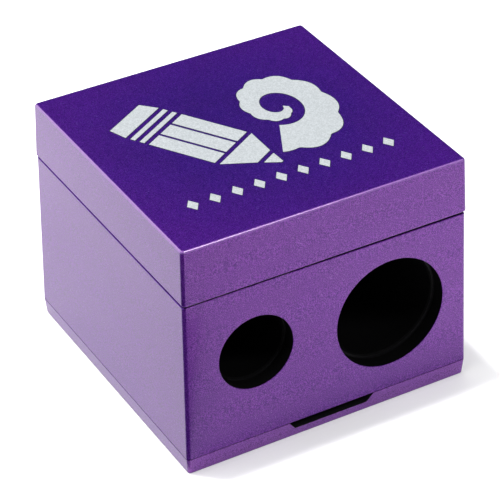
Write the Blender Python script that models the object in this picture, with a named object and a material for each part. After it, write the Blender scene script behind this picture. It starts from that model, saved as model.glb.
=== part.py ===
"""Double-barrel cosmetic pencil sharpener: a small cube-shaped box with two conical sharpeners inside.

The shell has two round holes in its front wall. Behind them sits a black insert with one barrel for a
standard pencil and one for a jumbo pencil, each with its own blade. A lid hinged at the back covers the
blades and carries a cleaning stick, and a door hinged at the back empties the shavings below.

Units are metres and +Z is up. The front, with the holes, faces -Y and the small hole is at -X. The
origin is the middle of the shell's plan, on the plane that the closed door rests on.
"""

import math

import bmesh
import bpy
from mathutils import Vector

MM = 0.001

# Outer form. The shell is square in plan and widens slightly towards its base; the lid narrows upwards.
HEIGHT = 27.88 * MM
LID_SEAM_Z = 21.07 * MM
DOOR_SEAM_Z = 1.94 * MM
SEAM_HALF = 17.00 * MM
BODY_DRAFT = 0.0193
LID_DRAFT = 0.029
LID_PROUD = 0.10 * MM
SEAM_GAP = 0.20 * MM
CORNER_RADIUS = 0.45 * MM
LID_EDGE_RADIUS = 0.35 * MM
DOOR_TAPER = 0.20 * MM
DOOR_EDGE_RADIUS = 0.25 * MM

# Walls and clearances.
CAVITY_HALF = 15.60 * MM
CAVITY_RADIUS = 0.80 * MM
LID_TOP_THICKNESS = 1.50 * MM
GAP = 0.30 * MM

# Pencil holes in the front wall, and the barrels behind them.
SMALL_X = -8.755 * MM
SMALL_Z = 12.70 * MM
SMALL_HOLE_RADIUS = 4.42 * MM
SMALL_BORE_RADIUS = 4.25 * MM
SMALL_TIP_RADIUS = 0.80 * MM
SMALL_HALF_ANGLE = math.radians(12.0)
SMALL_OUTER_RADIUS = 5.45 * MM

LARGE_X = 7.63 * MM
LARGE_Z = 11.64 * MM
LARGE_HOLE_RADIUS = 6.61 * MM
LARGE_BORE_RADIUS = 6.30 * MM
LARGE_TIP_RADIUS = 0.90 * MM
LARGE_HALF_ANGLE = math.radians(15.0)
LARGE_OUTER_RADIUS = 7.60 * MM

CONE_START_Y = -11.50 * MM
BARREL_TAIL = 1.20 * MM
COLLAR_WALL = 1.20 * MM
DECK_DROP = 0.30 * MM
DECK_START = 0.60 * MM
DECK_MARGIN = 0.70 * MM
EXIT_SLOPE = math.radians(20.0)

PLATE_HALF_WIDTH = 15.20 * MM
PLATE_THICKNESS = 1.20 * MM
PLATE_BOTTOM_Z = 3.30 * MM
PLATE_TOP_Z = 19.30 * MM
PLATE_RADIUS = 1.00 * MM

# Blades and their screws. Distances along a blade are measured down its deck from the cone's start. A
# screw stands at SCREW_PLACE of the blade's length and SCREW_OFFSET of its width, clear of the bore.
BLADE_THICKNESS = 0.50 * MM
BLADE_EDGE_THICKNESS = 0.06 * MM
BLADE_GRIND = 1.00 * MM
BLADE_START = 1.00 * MM
BLADE_HOLE_RADIUS = 0.95 * MM
SMALL_BLADE_WIDTH = 4.60 * MM
SMALL_BLADE_END = 15.50 * MM
LARGE_BLADE_WIDTH = 6.20 * MM
LARGE_BLADE_END = 19.50 * MM
SCREW_PLACE = 0.80
SCREW_OFFSET = 0.63
BLADE_SCREW_HEAD_RADIUS = 1.60 * MM
BLADE_SCREW_SHANK_RADIUS = 0.60 * MM
BLADE_SCREW_LENGTH = 2.40 * MM
SCREW_HEAD_HEIGHT = 0.80 * MM
SCREW_SLOT_WIDTH = 0.40 * MM
SCREW_SLOT_DEPTH = 0.40 * MM

# Screws that hold the insert against the front wall: name, x and z.
INSERT_SCREWS = (
    ("insert_screw_left", -12.60 * MM, 5.20 * MM),
    ("insert_screw_right", 13.50 * MM, 4.90 * MM),
    ("insert_screw_top", -1.63 * MM, 17.60 * MM),
)
INSERT_SCREW_HEAD_RADIUS = 1.35 * MM
INSERT_SCREW_SHANK_RADIUS = 0.60 * MM
INSERT_PILOT_DEPTH = 0.80 * MM

# Rear hinges. Both axes lie just behind the back face, level with their seams.
HINGE_OFFSET = 0.90 * MM
KNUCKLE_RADIUS = 1.45 * MM
PIN_RADIUS = 0.55 * MM
PIN_CLEARANCE = 0.15 * MM
KNUCKLE_INNER_X = 5.20 * MM
KNUCKLE_OUTER_X = 11.00 * MM
PIN_HALF_LENGTH = 10.90 * MM
WEB_BITE = 1.10 * MM

# Lid liner, with the clips that hold the cleaning stick.
LINER_HALF = 15.30 * MM
LINER_WALL = 1.00 * MM
LINER_SKIRT_Z = 19.70 * MM
STICK_RADIUS = 1.25 * MM
STICK_TIP_RADIUS = 0.35 * MM
STICK_LENGTH = 24.00 * MM
STICK_TAPER = 7.00 * MM
STICK_BLADE_LENGTH = 6.00 * MM
STICK_BLADE_THICKNESS = 0.90 * MM
STICK_Y = 3.50 * MM
STICK_CEILING_GAP = 0.40 * MM
CLIP_X = 5.50 * MM
CLIP_LENGTH = 2.60 * MM
CLIP_WALL = 0.80 * MM
CLIP_SLACK = 0.20 * MM

# Door: nail notch, liner panel and snap tongue.
NOTCH_TOP_LEFT = -5.06 * MM
NOTCH_TOP_RIGHT = 5.52 * MM
NOTCH_BOTTOM_LEFT = -4.29 * MM
NOTCH_BOTTOM_RIGHT = 4.66 * MM
NOTCH_BOTTOM_Z = 0.98 * MM
NOTCH_INNER_Y = -15.50 * MM
DOOR_LINER_HALF = 15.10 * MM
DOOR_LINER_THICKNESS = 0.90 * MM
TONGUE_HALF_WIDTH = 2.60 * MM
TONGUE_THICKNESS = 0.80 * MM
TONGUE_TOP_Z = 5.10 * MM
TONGUE_POCKET_HALF_WIDTH = 3.30 * MM
TONGUE_POCKET_TOP_Z = 5.60 * MM

# Facets.
ROUND_STEPS = 48
SMALL_ROUND_STEPS = 24
CORNER_STEPS = 3
FAR = 40.0 * MM

X_AXIS = Vector((1.0, 0.0, 0.0))
Y_AXIS = Vector((0.0, 1.0, 0.0))
Z_AXIS = Vector((0.0, 0.0, 1.0))


def clear_scene():
    for obj in list(bpy.data.objects):
        bpy.data.objects.remove(obj, do_unlink=True)


def make_material(name, colour, metallic, roughness):
    material = bpy.data.materials.new(name)
    material.use_nodes = True
    shader = material.node_tree.nodes["Principled BSDF"]
    shader.inputs["Base Color"].default_value = (*colour, 1.0)
    shader.inputs["Metallic"].default_value = metallic
    shader.inputs["Roughness"].default_value = roughness
    return material


def purple(name):
    return make_material(name, (0.16, 0.05, 0.32), 0.85, 0.35)


def black_plastic(name):
    return make_material(name, (0.015, 0.014, 0.017), 0.0, 0.45)


def steel(name):
    return make_material(name, (0.60, 0.61, 0.63), 1.0, 0.25)


# Meshes


def mesh_object(name, bm, material=None, smooth_angle=30.0):
    """Turn a bmesh into an object with its faces pointing out."""
    bmesh.ops.recalc_face_normals(bm, faces=bm.faces)
    mesh = bpy.data.meshes.new(name)
    bm.to_mesh(mesh)
    bm.free()
    mesh.shade_smooth()
    mesh.set_sharp_from_angle(angle=math.radians(smooth_angle))
    obj = bpy.data.objects.new(name, mesh)
    bpy.context.collection.objects.link(obj)
    if material is not None:
        mesh.materials.append(material)
    return obj


def loft(rings):
    """A closed skin through rings of equal point count, capped at both ends."""
    bm = bmesh.new()
    levels = [[bm.verts.new(point) for point in ring] for ring in rings]
    count = len(levels[0])
    for low, high in zip(levels, levels[1:]):
        for i in range(count):
            j = (i + 1) % count
            bm.faces.new((low[i], low[j], high[j], high[i]))
    bm.faces.new(levels[0])
    bm.faces.new(levels[-1])
    return bm


def rounded_square(half_x, half_y, radius, z):
    """A square with rounded corners at height z, counter-clockwise from above."""
    points = []
    for quarter, (sx, sy) in enumerate(((1, 1), (-1, 1), (-1, -1), (1, -1))):
        centre = Vector((sx * (half_x - radius), sy * (half_y - radius), z))
        for step in range(CORNER_STEPS + 1):
            angle = math.radians(90.0) * (quarter + step / CORNER_STEPS)
            points.append(centre + radius * (math.cos(angle) * X_AXIS + math.sin(angle) * Y_AXIS))
    return points


def turned(profile, origin, direction, steps=ROUND_STEPS):
    """A solid of revolution: profile holds (distance along direction, radius) pairs."""
    side = Z_AXIS.cross(direction)
    if side.length < 0.5:
        side = X_AXIS.copy()
    side.normalize()
    other = direction.cross(side)
    rings = []
    for distance, radius in profile:
        middle = origin + direction * distance
        ring = []
        for step in range(steps):
            angle = math.tau * (step + 0.5) / steps
            ring.append(middle + radius * (math.cos(angle) * side + math.sin(angle) * other))
        rings.append(ring)
    return loft(rings)


def prism(outline, origin, across, up, along, start, end):
    """An outline of (across, up) pairs, extruded along a third direction from start to end."""
    rings = []
    for distance in (start, end):
        rings.append([origin + across * a + up * b + along * distance for a, b in outline])
    return loft(rings)


def box(low, high):
    outline = ((low[0], low[1]), (high[0], low[1]), (high[0], high[1]), (low[0], high[1]))
    return prism(outline, Vector(), X_AXIS, Y_AXIS, Z_AXIS, low[2], high[2])


# Tools that change another object


def helper(name, bm):
    obj = mesh_object(name, bm)
    obj.hide_render = True
    obj.display_type = "WIRE"
    return obj


def combine(target, bm, operation):
    name = f"{target.name}_{operation.lower()}_{len(target.modifiers)}"
    modifier = target.modifiers.new(name, "BOOLEAN")
    modifier.operation = operation
    modifier.solver = "EXACT"
    modifier.object = helper(name, bm)


def add(target, bm):
    combine(target, bm, "UNION")


def cut(target, bm):
    combine(target, bm, "DIFFERENCE")


def axis_empty(name, location):
    empty = bpy.data.objects.new(name, None)
    empty.location = location
    empty.empty_display_size = 4.0 * MM
    bpy.context.collection.objects.link(empty)
    return empty


def hang_on(obj, empty):
    """Parent a piece, modelled in place, to the empty on its joint's axis."""
    obj.parent = empty
    obj.location = -empty.location


# Hinges


def body_half(z):
    return SEAM_HALF + BODY_DRAFT * (LID_SEAM_Z - z)


LID_AXIS = Vector((0.0, SEAM_HALF + HINGE_OFFSET, LID_SEAM_Z))
DOOR_AXIS = Vector((0.0, body_half(DOOR_SEAM_Z) + HINGE_OFFSET, DOOR_SEAM_Z))
BODY_KNUCKLES = ((-KNUCKLE_OUTER_X, -KNUCKLE_INNER_X), (KNUCKLE_INNER_X, KNUCKLE_OUTER_X))
CENTRE_KNUCKLE = ((-KNUCKLE_INNER_X + GAP, KNUCKLE_INNER_X - GAP),)


def knuckle_cylinder(axis, radius, start, end):
    return turned(((start, radius), (end, radius)), axis, X_AXIS, SMALL_ROUND_STEPS)


def add_knuckles(target, axis, spans, side):
    """Barrels on the hinge axis, each joined to its wall by a web above (1) or below (-1) the axis."""
    for start, end in spans:
        add(target, knuckle_cylinder(axis, KNUCKLE_RADIUS, start, end))
        near = axis.z + side * SEAM_GAP
        far = axis.z + side * KNUCKLE_RADIUS
        low = (start, axis.y - HINGE_OFFSET - WEB_BITE, min(near, far))
        high = (end, axis.y, max(near, far))
        add(target, box(low, high))


def cut_knuckle_pockets(target, axis, spans):
    for start, end in spans:
        cut(target, knuckle_cylinder(axis, KNUCKLE_RADIUS + GAP, start - GAP, end + GAP))


def cut_pin_bore(target, axis):
    cut(target, knuckle_cylinder(axis, PIN_RADIUS + PIN_CLEARANCE, -FAR, FAR))


def hinge_pin(name, axis):
    end_round = 0.12 * MM
    profile = (
        (-PIN_HALF_LENGTH, PIN_RADIUS - end_round),
        (-PIN_HALF_LENGTH + end_round, PIN_RADIUS),
        (PIN_HALF_LENGTH - end_round, PIN_RADIUS),
        (PIN_HALF_LENGTH, PIN_RADIUS - end_round),
    )
    return mesh_object(name, turned(profile, axis, X_AXIS, SMALL_ROUND_STEPS), steel(name))


# Shell, lid and door


def body_shell():
    rings = []
    for z in (DOOR_SEAM_Z, LID_SEAM_Z):
        rings.append(rounded_square(body_half(z), body_half(z), CORNER_RADIUS, z))
    shell = mesh_object("body_shell", loft(rings), purple("body_shell"))
    cavity = [rounded_square(CAVITY_HALF, CAVITY_HALF, CAVITY_RADIUS, z) for z in (-FAR, FAR)]
    cut(shell, loft(cavity))
    for x, z, radius in ((SMALL_X, SMALL_Z, SMALL_HOLE_RADIUS), (LARGE_X, LARGE_Z, LARGE_HOLE_RADIUS)):
        cut(shell, turned(((-FAR, radius), (-0.3 * FAR, radius)), Vector((x, 0.0, z)), Y_AXIS))
    add_knuckles(shell, LID_AXIS, BODY_KNUCKLES, -1)
    add_knuckles(shell, DOOR_AXIS, BODY_KNUCKLES, 1)
    cut_knuckle_pockets(shell, LID_AXIS, CENTRE_KNUCKLE)
    cut_knuckle_pockets(shell, DOOR_AXIS, CENTRE_KNUCKLE)
    cut_pin_bore(shell, LID_AXIS)
    cut_pin_bore(shell, DOOR_AXIS)
    pilot_radius = INSERT_SCREW_SHANK_RADIUS + GAP
    pilot = ((-CAVITY_HALF - INSERT_PILOT_DEPTH, pilot_radius), (-CAVITY_HALF + GAP, pilot_radius))
    for _, x, z in INSERT_SCREWS:
        cut(shell, turned(pilot, Vector((x, 0.0, z)), Y_AXIS, SMALL_ROUND_STEPS))
    return shell


def fillet_rings(half, radius, z_edge, side):
    """Rings that round an outer edge inwards, towards z_edge, above (1) or below (-1) the straight wall."""
    rings = []
    for step in range(1, CORNER_STEPS + 1):
        angle = math.radians(90.0) * step / CORNER_STEPS
        inset = radius * (1.0 - math.cos(angle))
        z = z_edge - side * radius * (1.0 - math.sin(angle))
        rings.append(rounded_square(half - inset, half - inset, CORNER_RADIUS, z))
    return rings


def top_lid():
    bottom = LID_SEAM_Z + SEAM_GAP
    shoulder = HEIGHT - LID_EDGE_RADIUS
    half_bottom = SEAM_HALF + LID_PROUD
    half_top = half_bottom - LID_DRAFT * (HEIGHT - LID_SEAM_Z)
    rings = [
        rounded_square(half_bottom, half_bottom, CORNER_RADIUS, bottom),
        rounded_square(half_top, half_top, CORNER_RADIUS, shoulder),
    ]
    rings += fillet_rings(half_top, LID_EDGE_RADIUS, HEIGHT, 1)
    lid = mesh_object("top_lid", loft(rings), purple("top_lid"))
    ceiling = HEIGHT - LID_TOP_THICKNESS
    cut(lid, loft([rounded_square(CAVITY_HALF, CAVITY_HALF, CAVITY_RADIUS, z) for z in (0.0, ceiling)]))
    add_knuckles(lid, LID_AXIS, CENTRE_KNUCKLE, 1)
    cut_knuckle_pockets(lid, LID_AXIS, BODY_KNUCKLES)
    cut_pin_bore(lid, LID_AXIS)
    return lid


def bottom_door():
    top = DOOR_SEAM_Z - SEAM_GAP
    half_top = body_half(DOOR_SEAM_Z)
    half_low = half_top - DOOR_TAPER
    rings = fillet_rings(half_low, DOOR_EDGE_RADIUS, 0.0, -1)[::-1]
    rings.append(rounded_square(half_low, half_low, CORNER_RADIUS, DOOR_EDGE_RADIUS))
    rings.append(rounded_square(half_top, half_top, CORNER_RADIUS, top))
    door = mesh_object("bottom_door", loft(rings), purple("bottom_door"))
    notch = (
        (NOTCH_BOTTOM_LEFT, NOTCH_BOTTOM_Z),
        (NOTCH_BOTTOM_RIGHT, NOTCH_BOTTOM_Z),
        (NOTCH_TOP_RIGHT, DOOR_SEAM_Z),
        (NOTCH_TOP_LEFT, DOOR_SEAM_Z),
    )
    cut(door, prism(notch, Vector(), X_AXIS, Z_AXIS, Y_AXIS, -FAR, NOTCH_INNER_Y))
    add_knuckles(door, DOOR_AXIS, CENTRE_KNUCKLE, -1)
    cut_knuckle_pockets(door, DOOR_AXIS, BODY_KNUCKLES)
    cut_pin_bore(door, DOOR_AXIS)
    return door


def stick_centre():
    ceiling = HEIGHT - LID_TOP_THICKNESS - GAP - LINER_WALL
    return Vector((0.0, STICK_Y, ceiling - STICK_CEILING_GAP - STICK_RADIUS))


def lid_liner():
    """Inner cap: a skirt that drops into the shell, and two open clips under its ceiling."""
    ceiling = HEIGHT - LID_TOP_THICKNESS - GAP
    outer = [rounded_square(LINER_HALF, LINER_HALF, CAVITY_RADIUS, z) for z in (LINER_SKIRT_Z, ceiling)]
    liner = mesh_object("lid_liner", loft(outer), black_plastic("lid_liner"))
    inner_half = LINER_HALF - LINER_WALL
    inside = ceiling - LINER_WALL
    cut(liner, loft([rounded_square(inner_half, inner_half, CAVITY_RADIUS, z) for z in (0.0, inside)]))
    centre = stick_centre()
    inner = STICK_RADIUS + CLIP_SLACK
    for x in (-CLIP_X, CLIP_X):
        for side in (-1, 1):
            near = centre.y + side * inner
            far = centre.y + side * (inner + CLIP_WALL)
            low = (x - CLIP_LENGTH / 2, min(near, far), centre.z - STICK_RADIUS)
            high = (x + CLIP_LENGTH / 2, max(near, far), inside + LINER_WALL / 2)
            add(liner, box(low, high))
    return liner


def door_liner():
    """Inner panel of the door, with the snap tongue that holds it shut at the front wall."""
    low = DOOR_SEAM_Z - SEAM_GAP + GAP
    high = low + DOOR_LINER_THICKNESS
    rings = [rounded_square(DOOR_LINER_HALF, DOOR_LINER_HALF, CAVITY_RADIUS, z) for z in (low, high)]
    liner = mesh_object("door_liner", loft(rings), black_plastic("door_liner"))
    tongue_low = (-TONGUE_HALF_WIDTH, -DOOR_LINER_HALF, low + DOOR_LINER_THICKNESS / 2)
    tongue_high = (TONGUE_HALF_WIDTH, -DOOR_LINER_HALF + TONGUE_THICKNESS, TONGUE_TOP_Z)
    add(liner, box(tongue_low, tongue_high))
    return liner


# Sharpener


class Barrel:
    """One conical sharpener: its axis runs along +Y at (x, z), and its deck follows the cone's top line."""

    def __init__(self, name, x, z, bore, tip, half_angle, outer, blade_width, blade_end):
        self.name = name
        self.axis = Vector((x, 0.0, z))
        self.bore = bore
        self.tip = tip
        self.half_angle = half_angle
        self.outer = outer
        self.blade_width = blade_width
        self.blade_end = blade_end
        self.tip_y = CONE_START_Y + (bore - tip) / math.tan(half_angle)
        self.end_y = self.tip_y + BARREL_TAIL
        self.deck_origin = Vector((x, CONE_START_Y, z + bore))
        self.down_deck = Vector((0.0, math.cos(half_angle), -math.sin(half_angle)))
        self.deck_normal = Vector((0.0, math.sin(half_angle), math.cos(half_angle)))
        along = BLADE_START + SCREW_PLACE * (blade_end - BLADE_START)
        self.screw_foot = self.deck_origin - X_AXIS * blade_width * SCREW_OFFSET + self.down_deck * along

    def block(self):
        """Outer block: round underneath, straight sides, and a flat top."""
        outline = []
        half_steps = ROUND_STEPS // 2
        for step in range(half_steps + 1):
            angle = math.pi * (1.0 + step / half_steps)
            outline.append((self.outer * math.cos(angle), self.outer * math.sin(angle)))
        top = self.bore + COLLAR_WALL
        outline.append((self.outer, top))
        outline.append((-self.outer, top))
        start = -CAVITY_HALF + GAP + PLATE_THICKNESS / 2
        return prism(outline, self.axis, X_AXIS, Z_AXIS, Y_AXIS, start, self.end_y)

    def bore_cutter(self):
        profile = (
            (-FAR, self.bore),
            (CONE_START_Y, self.bore),
            (self.tip_y, self.tip),
            (FAR, self.tip),
        )
        return turned(profile, self.axis, Y_AXIS)

    def deck_cutter(self):
        """Flat deck under the blade, falling away on the side where the shavings come out."""
        reach = self.outer + DECK_MARGIN
        outline = (
            (-reach, -DECK_DROP),
            (0.0, -DECK_DROP),
            (reach, -DECK_DROP - reach * math.tan(EXIT_SLOPE)),
            (reach, FAR),
            (-reach, FAR),
        )
        return prism(outline, self.deck_origin, X_AXIS, self.deck_normal, self.down_deck, DECK_START, FAR)

    def blade(self):
        outline = (
            (-self.blade_width, 0.0),
            (0.0, 0.0),
            (0.0, BLADE_EDGE_THICKNESS),
            (-BLADE_GRIND, BLADE_THICKNESS),
            (-self.blade_width, BLADE_THICKNESS),
        )
        origin = self.deck_origin
        body = prism(outline, origin, X_AXIS, self.deck_normal, self.down_deck, BLADE_START, self.blade_end)
        name = f"{self.name}_blade"
        blade = mesh_object(name, body, steel(name))
        hole = ((-1.0 * MM, BLADE_HOLE_RADIUS), (2.0 * MM, BLADE_HOLE_RADIUS))
        cut(blade, turned(hole, self.screw_foot, self.deck_normal, SMALL_ROUND_STEPS))
        return blade

    def screw_hole(self):
        radius = BLADE_SCREW_SHANK_RADIUS + GAP
        profile = ((-BLADE_SCREW_LENGTH - GAP, radius), (2.0 * MM, radius))
        return turned(profile, self.screw_foot, self.deck_normal, SMALL_ROUND_STEPS)

    def screw(self):
        foot = self.screw_foot + self.deck_normal * (BLADE_THICKNESS + GAP)
        name = f"{self.name}_blade_screw"
        length = BLADE_SCREW_LENGTH + BLADE_THICKNESS + GAP
        return screw(name, foot, self.deck_normal, BLADE_SCREW_HEAD_RADIUS, BLADE_SCREW_SHANK_RADIUS, length)


def screw(name, foot, direction, head_radius, shank_radius, length):
    """A slotted cheese-head screw; foot is under its head, and direction points out of the head."""
    profile = (
        (-length, shank_radius * 0.6),
        (-length + 0.4 * MM, shank_radius),
        (0.0, shank_radius),
        (0.0, head_radius),
        (SCREW_HEAD_HEIGHT - 0.15 * MM, head_radius),
        (SCREW_HEAD_HEIGHT, head_radius - 0.15 * MM),
    )
    obj = mesh_object(name, turned(profile, foot, direction, SMALL_ROUND_STEPS), steel(name))
    across = direction.cross(X_AXIS)
    half = SCREW_SLOT_WIDTH / 2
    outline = ((-half, SCREW_HEAD_HEIGHT - SCREW_SLOT_DEPTH), (half, SCREW_HEAD_HEIGHT - SCREW_SLOT_DEPTH),
               (half, SCREW_HEAD_HEIGHT * 2), (-half, SCREW_HEAD_HEIGHT * 2))
    cut(obj, prism(outline, foot, across, direction, X_AXIS, -head_radius * 2, head_radius * 2))
    return obj


def barrels():
    small = Barrel("small", SMALL_X, SMALL_Z, SMALL_BORE_RADIUS, SMALL_TIP_RADIUS, SMALL_HALF_ANGLE,
                   SMALL_OUTER_RADIUS, SMALL_BLADE_WIDTH, SMALL_BLADE_END)
    large = Barrel("large", LARGE_X, LARGE_Z, LARGE_BORE_RADIUS, LARGE_TIP_RADIUS, LARGE_HALF_ANGLE,
                   LARGE_OUTER_RADIUS, LARGE_BLADE_WIDTH, LARGE_BLADE_END)
    return small, large


def insert_plate():
    middle_z = (PLATE_TOP_Z + PLATE_BOTTOM_Z) / 2
    half_height = (PLATE_TOP_Z - PLATE_BOTTOM_Z) / 2
    flat = rounded_square(PLATE_HALF_WIDTH, half_height, PLATE_RADIUS, 0.0)
    front = -CAVITY_HALF + GAP
    rings = []
    for y in (front, front + PLATE_THICKNESS):
        rings.append([Vector((point.x, y, middle_z + point.y)) for point in flat])
    return loft(rings)


def sharpener_insert(pair):
    insert = mesh_object("sharpener_insert", insert_plate(), black_plastic("sharpener_insert"))
    for barrel in pair:
        add(insert, barrel.block())
    for barrel in pair:
        cut(insert, barrel.deck_cutter())
        cut(insert, barrel.bore_cutter())
        cut(insert, barrel.screw_hole())
    for _, x, z in INSERT_SCREWS:
        radius = INSERT_SCREW_SHANK_RADIUS + GAP
        hole = ((-FAR, radius), (-CAVITY_HALF + 2 * PLATE_THICKNESS, radius))
        cut(insert, turned(hole, Vector((x, 0.0, z)), Y_AXIS, SMALL_ROUND_STEPS))
    pocket_low = (-TONGUE_POCKET_HALF_WIDTH, -CAVITY_HALF, 0.0)
    pocket_high = (TONGUE_POCKET_HALF_WIDTH, -CAVITY_HALF + 2 * PLATE_THICKNESS, TONGUE_POCKET_TOP_Z)
    cut(insert, box(pocket_low, pocket_high))
    return insert


def insert_screws():
    foot_y = -CAVITY_HALF + GAP + PLATE_THICKNESS + GAP
    length = foot_y + CAVITY_HALF + INSERT_PILOT_DEPTH - GAP
    for name, x, z in INSERT_SCREWS:
        foot = Vector((x, foot_y, z))
        screw(name, foot, Y_AXIS, INSERT_SCREW_HEAD_RADIUS, INSERT_SCREW_SHANK_RADIUS, length)


def cleaning_stick():
    """A round pick: tapered to a blunt point at one end, flattened to a spatula at the other."""
    half = STICK_LENGTH / 2
    profile = (
        (-half, STICK_TIP_RADIUS),
        (-half + STICK_TAPER, STICK_RADIUS),
        (half - 0.4 * MM, STICK_RADIUS),
        (half, STICK_RADIUS - 0.4 * MM),
    )
    centre = stick_centre()
    body = turned(profile, centre, X_AXIS, SMALL_ROUND_STEPS)
    stick = mesh_object("cleaning_stick", body, make_material("cleaning_stick", (0.75, 0.74, 0.78), 0.0, 0.4))
    for side in (-1, 1):
        near = centre.z + side * STICK_BLADE_THICKNESS / 2
        far = centre.z + side * STICK_RADIUS * 2
        low = (half - STICK_BLADE_LENGTH, centre.y - STICK_RADIUS * 2, min(near, far))
        high = (half + 1.0 * MM, centre.y + STICK_RADIUS * 2, max(near, far))
        cut(stick, box(low, high))
    return stick


def build():
    clear_scene()
    lid_axis = axis_empty("lid_axis", LID_AXIS)
    door_axis = axis_empty("door_axis", DOOR_AXIS)
    stick_axis = axis_empty("stick_axis", stick_centre())
    body_shell()
    pair = barrels()
    sharpener_insert(pair)
    for barrel in pair:
        barrel.blade()
        barrel.screw()
    insert_screws()
    hinge_pin("lid_hinge_pin", LID_AXIS)
    hinge_pin("door_hinge_pin", DOOR_AXIS)
    hang_on(top_lid(), lid_axis)
    hang_on(lid_liner(), lid_axis)
    hang_on(bottom_door(), door_axis)
    hang_on(door_liner(), door_axis)
    hang_on(cleaning_stick(), stick_axis)


build()
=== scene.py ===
"""Looks of the double-barrel pencil sharpener cube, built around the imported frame.

Units are metres in the frame's axes: +Z up, the pencil holes face -Y, the hinges are at +Y.
"""

import functools
import math

import bmesh
import bpy
from mathutils import Matrix, Vector

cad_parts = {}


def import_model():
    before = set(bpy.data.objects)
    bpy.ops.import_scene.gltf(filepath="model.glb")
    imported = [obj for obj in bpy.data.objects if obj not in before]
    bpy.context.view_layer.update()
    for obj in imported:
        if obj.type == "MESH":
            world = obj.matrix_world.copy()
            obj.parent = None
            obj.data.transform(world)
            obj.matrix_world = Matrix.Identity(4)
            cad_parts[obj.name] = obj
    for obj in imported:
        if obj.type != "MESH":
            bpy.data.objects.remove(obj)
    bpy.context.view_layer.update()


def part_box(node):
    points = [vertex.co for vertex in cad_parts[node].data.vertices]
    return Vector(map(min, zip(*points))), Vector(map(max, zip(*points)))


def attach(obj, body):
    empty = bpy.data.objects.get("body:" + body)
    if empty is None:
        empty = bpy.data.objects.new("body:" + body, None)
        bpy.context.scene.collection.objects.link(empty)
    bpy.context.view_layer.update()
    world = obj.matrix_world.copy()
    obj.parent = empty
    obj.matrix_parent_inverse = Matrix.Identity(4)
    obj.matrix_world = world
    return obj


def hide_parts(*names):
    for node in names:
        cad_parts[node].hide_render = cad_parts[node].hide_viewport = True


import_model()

MM = 0.001
X_AXIS = Vector((1.0, 0.0, 0.0))
Y_AXIS = Vector((0.0, 1.0, 0.0))
Z_AXIS = Vector((0.0, 0.0, 1.0))

# Camera: a long lens, looking down at the front left corner.
CAMERA_POSITION = Vector((-108.895, -197.500, 165.969)) * MM
CAMERA_AZIMUTH = math.radians(-28.92)
CAMERA_ELEVATION = math.radians(34.25)
CAMERA_ROLL = math.radians(-1.29)
CAMERA_LENS = 178.6
CAMERA_SENSOR = 36.0
CAMERA_CLIP = 0.01

# Outer form, from the frame where it can be read there.
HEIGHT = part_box("top_lid")[1].z
LID_SEAM_Z = 21.07 * MM
DOOR_SEAM_Z = 1.94 * MM
SEAM_HALF = 17.00 * MM
BODY_DRAFT = 0.0193
LID_DRAFT = 0.029
LID_PROUD = 0.10 * MM
CORNER_RADIUS = 0.38 * MM
LID_EDGE_RADIUS = 0.32 * MM
LID_CORNER_SHRINK = 0.6
LID_CORNER_MIN = 0.10 * MM
DOOR_TAPER = 0.15 * MM
DOOR_EDGE_RADIUS = 0.14 * MM
DOOR_RIM_INSET = 0.005 * MM
DOOR_RIM_CHAMFER = 0.03 * MM
RIM_CHAMFER = 0.10 * MM
CAVITY_HALF = 15.60 * MM
CAVITY_RADIUS = 0.80 * MM
LID_TOP_THICKNESS = 1.50 * MM
GAP = 0.30 * MM

# The lid's rim is very slightly warped, so its seam is a hairline at one place and open at another.
SEAM_GAP_MIN = 0.14 * MM
SEAM_GAP_FRONT = 0.15 * MM
SEAM_GAP_LEFT = 0.17 * MM
SEAM_BOW_PLACE = -0.45
SEAM_BOW_SPREAD = 0.45
LID_RIM_RADIUS = 0.10 * MM
LID_RIM_SIDE_RADIUS = 0.26 * MM
DOOR_GAP = 0.04 * MM

# Pencil holes.
SMALL_X = -8.755 * MM
SMALL_Z = 12.70 * MM
SMALL_HOLE_RADIUS = 4.42 * MM
LARGE_X = 7.63 * MM
LARGE_Z = 11.64 * MM
LARGE_HOLE_RADIUS = 6.61 * MM
HOLE_CHAMFER = 0.05 * MM
HOLE_CUT_END = -12.0 * MM
HOLES = ((SMALL_X, SMALL_Z, SMALL_HOLE_RADIUS), (LARGE_X, LARGE_Z, LARGE_HOLE_RADIUS))

# Hinges.
HINGE_OFFSET = 0.90 * MM
KNUCKLE_RADIUS = 1.45 * MM
PIN_RADIUS = 0.55 * MM
PIN_CLEARANCE = 0.10 * MM
KNUCKLE_INNER_X = 5.20 * MM
KNUCKLE_OUTER_X = 11.00 * MM
KNUCKLE_SPACE = 0.15 * MM
WEB_BITE = 1.10 * MM
WEB_GAP = 0.20 * MM
WEB_INSET = 0.02 * MM
WEB_SHARE = 0.985

# Barrels of the insert.
SMALL_BORE_RADIUS = 4.25 * MM
SMALL_TIP_RADIUS = 0.80 * MM
SMALL_HALF_ANGLE = math.radians(12.0)
SMALL_OUTER_RADIUS = 5.45 * MM
LARGE_BORE_RADIUS = 6.30 * MM
LARGE_TIP_RADIUS = 0.90 * MM
LARGE_HALF_ANGLE = math.radians(15.0)
LARGE_OUTER_RADIUS = 7.60 * MM
CONE_START_Y = -11.50 * MM
BARREL_TAIL = 1.20 * MM
COLLAR_WALL = 1.20 * MM
MOUTH_CHAMFER = 0.15 * MM
MOUTH_MARGIN = 0.50 * MM
BORE_MARGIN = 0.20 * MM
DECK_DROP = 0.30 * MM
DECK_START = 0.60 * MM
DECK_MARGIN = 0.70 * MM
EXIT_SLOPE = math.radians(20.0)
PLATE_FRONT = -CAVITY_HALF + GAP
PLATE_HALF_WIDTH = 15.20 * MM
PLATE_THICKNESS = 1.20 * MM
PLATE_BOTTOM_Z = 3.30 * MM
PLATE_TOP_Z = 19.30 * MM
PLATE_RADIUS = 1.00 * MM
RIB_THICKNESS = 0.80 * MM
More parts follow.
